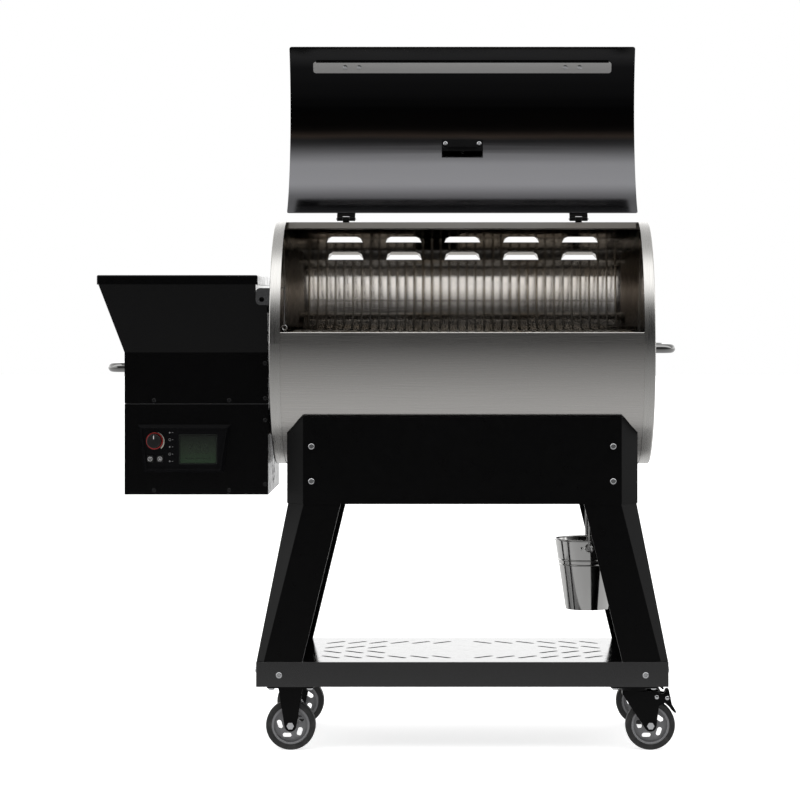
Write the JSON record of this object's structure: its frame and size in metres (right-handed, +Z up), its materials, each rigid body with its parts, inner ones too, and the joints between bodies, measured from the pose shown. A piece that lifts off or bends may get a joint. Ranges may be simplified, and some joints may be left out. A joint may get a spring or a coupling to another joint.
{
  "type": "pellet smoker grill",
  "caption": "Barrel pellet smoker grill on a wheeled cart, curved lid open, side hopper with controller, grate, shelf, and drip bucket on a hook.",
  "frame": {"origin": "centre of the bounding box's base, on the floor under the wheels", "axes": "+Z up, +X to the viewer's right (drum end away from the hopper), +Y to the rear; the front with the controller faces -Y"},
  "size_m": [1.171, 0.504, 1.4463],
  "materials": {
    "black_coat": "satin black powder coat",
    "hopper_coat": "fine textured black powder coat",
    "enamel": "semi-gloss black enamel",
    "stainless": "brushed stainless",
    "polished": "polished stainless",
    "zinc": "bright zinc plate",
    "steel_wire": "plain steel",
    "pot_steel": "heat-tinted steel",
    "black_screw": "black zinc",
    "rim_plastic": "grey moulded nylon",
    "tread": "soft black rubber",
    "panel_plastic": "gloss black",
    "knob_plastic": "satin black",
    "button_plastic": "satin black with white mark",
    "screen": "grey-green liquid crystal",
    "dial": "bright bezel with pale face",
    "motor_steel": "die-cast",
    "fan_plastic": "black nylon"
  },
  "bodies": {
    "cart": {"shelf": "black_coat", "front_legs": "black_coat", "rear_legs": "black_coat", "front_apron": "black_coat", "rear_apron": "black_coat", "cart_bolts": "zinc", "fixed_caster_forks": "black_coat", "swivel_heads": "black_coat", "fixed_caster_axles": "zinc", "barrel_shell": "stainless", "end_cap_left": "stainless", "end_cap_right": "stainless", "side_handles": "polished", "drum_hinge_leaves": "black_coat", "hinge_pins": "zinc", "heat_baffle": "pot_steel", "fire_pot": "pot_steel", "igniter_rod": "pot_steel", "auger_tube": "pot_steel", "temperature_probe": "polished", "drain_spout": "stainless", "hopper_bin": "hopper_coat", "control_box": "hopper_coat", "hopper_screws": "black_screw", "control_bezel": "panel_plastic", "control_display": "screen", "auger_gearmotor": "motor_steel", "fan_housing": "fan_plastic", "hanger_tab": "zinc"},
    "lid": {"lid_shell": "enamel", "lid_inner_strip": "stainless", "lid_handle": "polished", "lid_screws": "zinc", "probe_guard": "black_coat", "thermometer": "dial", "lid_hinge_leaves": "black_coat"},
    "hopper_cover": {"hopper_lid": "hopper_coat"},
    "swivel_front": {"swivel_fork_front": "black_coat", "swivel_axle_front": "zinc"},
    "swivel_rear": {"swivel_fork_rear": "black_coat", "swivel_axle_rear": "zinc"},
    "pedal_front": {"brake_pedal_front": "black_coat"},
    "pedal_rear": {"brake_pedal_rear": "black_coat"},
    "wheel_front_left": {"wheel_rim_front_left": "rim_plastic", "tyre_front_left": "tread"},
    "wheel_front_right": {"wheel_rim_front_right": "rim_plastic", "tyre_front_right": "tread"},
    "wheel_rear_left": {"wheel_rim_rear_left": "rim_plastic", "tyre_rear_left": "tread"},
    "wheel_rear_right": {"wheel_rim_rear_right": "rim_plastic", "tyre_rear_right": "tread"},
    "knob": {"control_knob": "knob_plastic"},
    "left_button": {"button_left": "button_plastic"},
    "right_button": {"button_right": "button_plastic"},
    "auger": {"auger_screw": "pot_steel"},
    "fan": {"fan_impeller": "fan_plastic"},
    "grate": {"main_grate": "steel_wire"},
    "tray": {"drip_tray": "stainless"},
    "bail": {"bucket_bail": "polished"},
    "pail": {"bucket": "polished"}
  },
  "joints": [
    {"name": "lid_hinge", "type": "hinge", "parent": "cart", "child": "lid", "pos_m": [0.1485, 0.04083, 1.07729], "axis": [1, 0, 0], "range_deg": [0, 143]},
    {"name": "hopper_lid_hinge", "type": "hinge", "parent": "cart", "child": "hopper_cover", "pos_m": [-0.4245, 0.193, 0.943], "axis": [-1, 0, 0], "range_deg": [0, 100]},
    {"name": "caster_swivel_front", "type": "hinge", "parent": "cart", "child": "swivel_front", "pos_m": [0.4945, -0.174, 0.1], "axis": [0, 0, 1], "continuous": true},
    {"name": "wheel_spin_front_right", "type": "hinge", "parent": "swivel_front", "child": "wheel_front_right", "pos_m": [0.5275, -0.174, 0.05], "axis": [0, 1, 0], "continuous": true},
    {"name": "wheel_spin_front_left", "type": "hinge", "parent": "cart", "child": "wheel_front_left", "pos_m": [-0.1975, -0.174, 0.05], "axis": [0, 1, 0], "continuous": true},
    {"name": "brake_front", "type": "hinge", "parent": "swivel_front", "child": "pedal_front", "pos_m": [0.561, -0.174, 0.106], "axis": [0, 1, 0], "range_deg": [-25, 0]},
    {"name": "caster_swivel_rear", "type": "hinge", "parent": "cart", "child": "swivel_rear", "pos_m": [0.4945, 0.174, 0.1], "axis": [0, 0, 1], "continuous": true},
    {"name": "wheel_spin_rear_right", "type": "hinge", "parent": "swivel_rear", "child": "wheel_rear_right", "pos_m": [0.5275, 0.174, 0.05], "axis": [0, 1, 0], "continuous": true},
    {"name": "wheel_spin_rear_left", "type": "hinge", "parent": "cart", "child": "wheel_rear_left", "pos_m": [-0.1975, 0.174, 0.05], "axis": [0, 1, 0], "continuous": true},
    {"name": "brake_rear", "type": "hinge", "parent": "swivel_rear", "child": "pedal_rear", "pos_m": [0.561, 0.174, 0.106], "axis": [0, 1, 0], "range_deg": [-25, 0]},
    {"name": "knob_turn", "type": "hinge", "parent": "cart", "child": "knob", "pos_m": [-0.4742, -0.17, 0.622], "axis": [0, 1, 0], "continuous": true},
    {"name": "left_button_press", "type": "slide", "parent": "cart", "child": "left_button", "axis": [0, 1, 0], "range_m": [0, 0.0015], "stiffness_N_per_m": 300},
    {"name": "right_button_press", "type": "slide", "parent": "cart", "child": "right_button", "axis": [0, 1, 0], "range_m": [0, 0.0015], "stiffness_N_per_m": 300},
    {"name": "auger_turn", "type": "hinge", "parent": "cart", "child": "auger", "pos_m": [-0.2315, 0, 0.655], "axis": [1, 0, 0], "continuous": true},
    {"name": "fan_turn", "type": "hinge", "parent": "cart", "child": "fan", "pos_m": [-0.2815, 0, 0.57], "axis": [1, 0, 0], "continuous": true},
    {"name": "grate_lift", "type": "slide", "parent": "cart", "child": "grate", "axis": [0, 0, 1], "range_m": [0, 0.04]},
    {"name": "tray_lift", "type": "slide", "parent": "cart", "child": "tray", "axis": [0, 0, 1], "range_m": [0, 0.04]},
    {"name": "bail_swing", "type": "hinge", "parent": "cart", "child": "bail", "pos_m": [0.4085, 0, 0.514], "axis": [0, 1, 0], "range_deg": [-8, 8]},
    {"name": "pail_swing", "type": "hinge", "parent": "bail", "child": "pail", "pos_m": [0.4085, 0, 0.395], "axis": [0, 1, 0], "range_deg": [-25, 25]}
  ]
}
